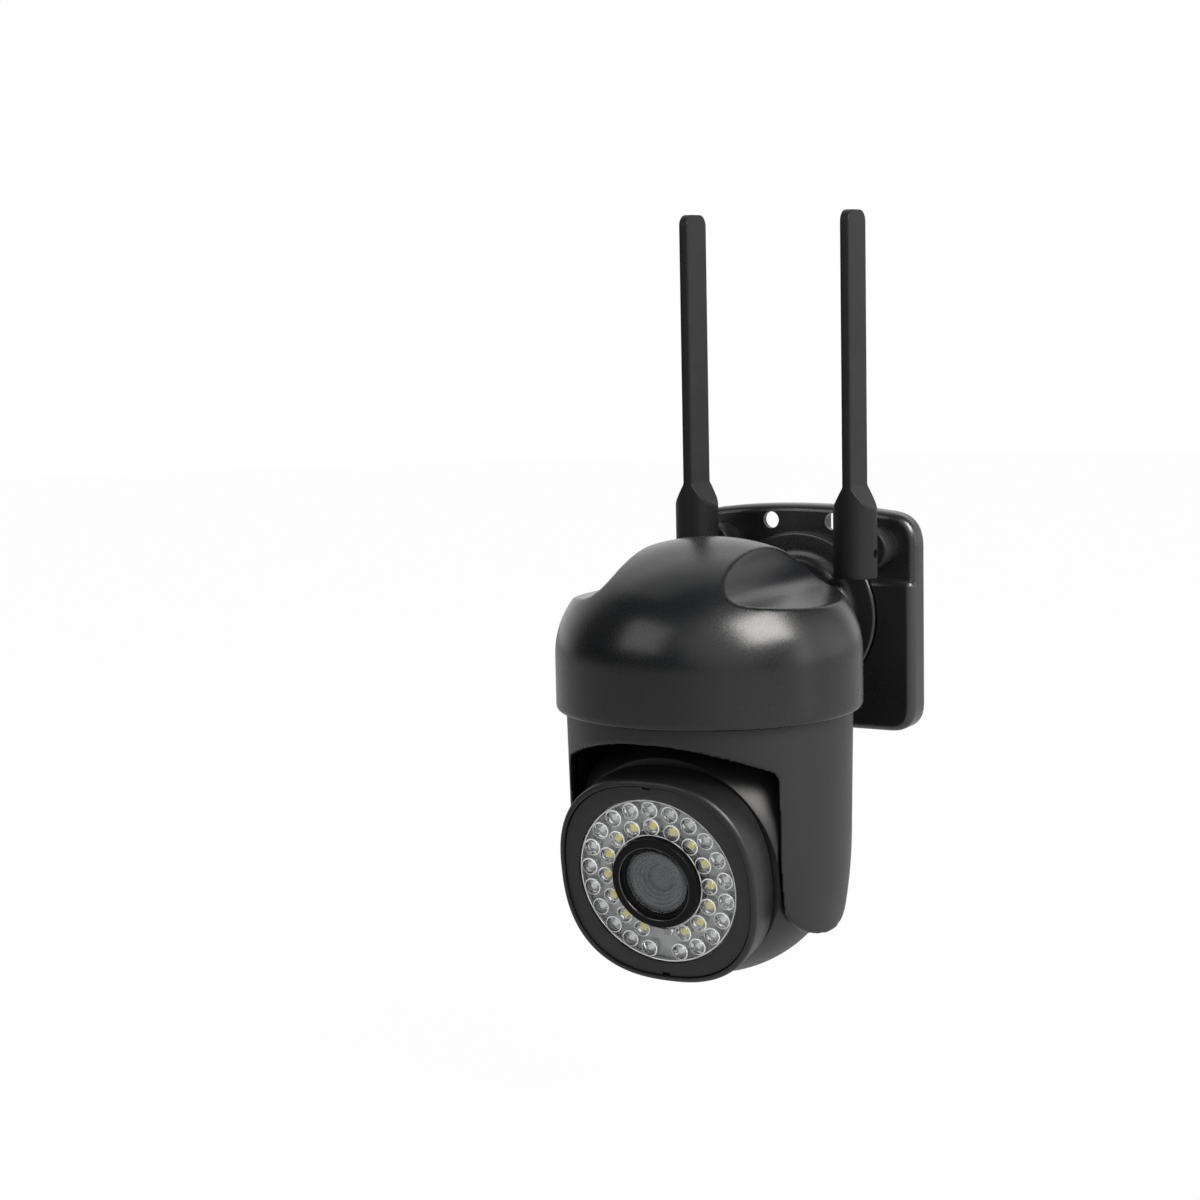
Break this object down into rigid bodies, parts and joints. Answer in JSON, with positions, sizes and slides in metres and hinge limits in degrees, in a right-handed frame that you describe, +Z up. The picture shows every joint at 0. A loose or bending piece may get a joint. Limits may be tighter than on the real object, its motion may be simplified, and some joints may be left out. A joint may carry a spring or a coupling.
{
  "type": "security camera",
  "caption": "Outdoor pan-and-tilt camera: a domed cap on a wall bracket, a ball head with rings of lamps round the lens, two folding antennas.",
  "frame": {"origin": "centre of the wall plate's back face, on the wall", "axes": "+Z up, +Y into the wall, so the lens looks towards -Y and down; +X to the right of someone who faces the camera's wall, looking along +Y"},
  "size_m": [0.1, 0.1335, 0.2477],
  "materials": {
    "cap_plastic": "satin charcoal ABS, softly reflective",
    "fork_plastic": "semi-matte charcoal ABS",
    "head_plastic": "satin charcoal ABS",
    "bracket_plastic": "glossy black ABS with softly rounded edges",
    "antenna_plastic": "fine-grained matte black",
    "bezel_plastic": "matte black",
    "hood_plastic": "matte black with bright moulded edges",
    "inner_plastic": "plain black moulding",
    "gear_nylon": "natural nylon",
    "seal_rubber": "soft black rubber",
    "clear_plastic": "clear polycarbonate with domes over the lamps",
    "lens_glass": "coated front element",
    "barrel_metal": "black-anodised",
    "light_board": "pale solder mask with lamp chips",
    "circuit_board": "green solder mask",
    "sensor_plastic": "dark tinted epoxy",
    "motor_steel": "zinc-plated steel",
    "screw_steel": "zinc-plated screw"
  },
  "bodies": {
    "bracket": {"wall_plate": "bracket_plastic", "bracket_arm": "bracket_plastic", "cable_grommet": "seal_rubber", "arm_seal": "seal_rubber", "arm_nut": "inner_plastic", "arm_screw_1": "screw_steel", "arm_screw_2": "screw_steel", "arm_screw_3": "screw_steel", "arm_screw_4": "screw_steel", "dome_cap": "cap_plastic", "cap_base": "inner_plastic", "base_screw_1": "screw_steel", "base_screw_2": "screw_steel", "base_screw_3": "screw_steel", "base_screw_4": "screw_steel", "pan_bush": "gear_nylon", "pan_motor": "motor_steel", "main_board": "circuit_board"},
    "fork": {"fork_shell": "fork_plastic", "pan_gear": "gear_nylon", "spindle_ring": "motor_steel", "ear_cover_right": "fork_plastic", "ear_cover_left": "fork_plastic", "tilt_shaft": "motor_steel", "tilt_bush": "gear_nylon", "tilt_gear": "gear_nylon"},
    "head": {"head_rear_shell": "head_plastic", "head_front_shell": "head_plastic", "head_seal": "seal_rubber", "head_screw_1": "screw_steel", "head_screw_2": "screw_steel", "head_screw_3": "screw_steel", "head_screw_4": "screw_steel", "bezel": "bezel_plastic", "light_plate": "clear_plastic", "light_board": "light_board", "light_sensor": "sensor_plastic", "lens_hood": "hood_plastic", "lens_glass": "lens_glass", "lens_barrel": "barrel_metal", "image_board": "circuit_board", "tilt_motor": "motor_steel"},
    "pan_pinion": {"pan_pinion": "gear_nylon"},
    "tilt_pinion": {"tilt_pinion": "gear_nylon"},
    "right_stub": {"antenna_stub_right": "antenna_plastic", "stub_clip_right": "motor_steel"},
    "right_antenna": {"antenna_right": "antenna_plastic", "fold_pin_right": "motor_steel"},
    "left_stub": {"antenna_stub_left": "antenna_plastic", "stub_clip_left": "motor_steel"},
    "left_antenna": {"antenna_left": "antenna_plastic", "fold_pin_left": "motor_steel"}
  },
  "joints": [
    {"name": "pan", "type": "hinge", "parent": "bracket", "child": "fork", "pos_m": [0, -0.0835, -0.0192], "axis": [0, 0, 1], "range_deg": [-175, 175]},
    {"name": "pan_pinion_spin", "type": "hinge", "parent": "bracket", "child": "pan_pinion", "pos_m": [0, -0.11307, -0.0192], "axis": [0, 0, 1], "range_deg": [-610, 610]},
    {"name": "tilt", "type": "hinge", "parent": "fork", "child": "head", "pos_m": [0, -0.0835, -0.0625], "axis": [1, 0, 0], "range_deg": [-15, 79]},
    {"name": "tilt_pinion_spin", "type": "hinge", "parent": "head", "child": "tilt_pinion", "pos_m": [0.02975, -0.06876, -0.05985], "axis": [1, 0, 0], "range_deg": [-32, 160]},
    {"name": "right_antenna_swivel", "type": "hinge", "parent": "bracket", "child": "right_stub", "pos_m": [0.0297, -0.0317, 0.0262], "axis": [0, 1, 0], "range_deg": [-10, 90]},
    {"name": "left_antenna_swivel", "type": "hinge", "parent": "bracket", "child": "left_stub", "pos_m": [-0.0297, -0.0317, 0.0262], "axis": [0, 1, 0], "range_deg": [-90, 10]},
    {"name": "right_antenna_fold", "type": "hinge", "parent": "right_stub", "child": "right_antenna", "pos_m": [0.0297, -0.0317, 0.0262], "axis": [1, 0, 0], "range_deg": [0, 90]},
    {"name": "left_antenna_fold", "type": "hinge", "parent": "left_stub", "child": "left_antenna", "pos_m": [-0.0297, -0.0317, 0.0262], "axis": [1, 0, 0], "range_deg": [0, 90]}
  ],
  "couplings": [
    {"joint": "pan_pinion_spin", "follows": "pan", "ratio": -3.4545},
    {"joint": "tilt_pinion_spin", "follows": "tilt", "ratio": 2}
  ]
}
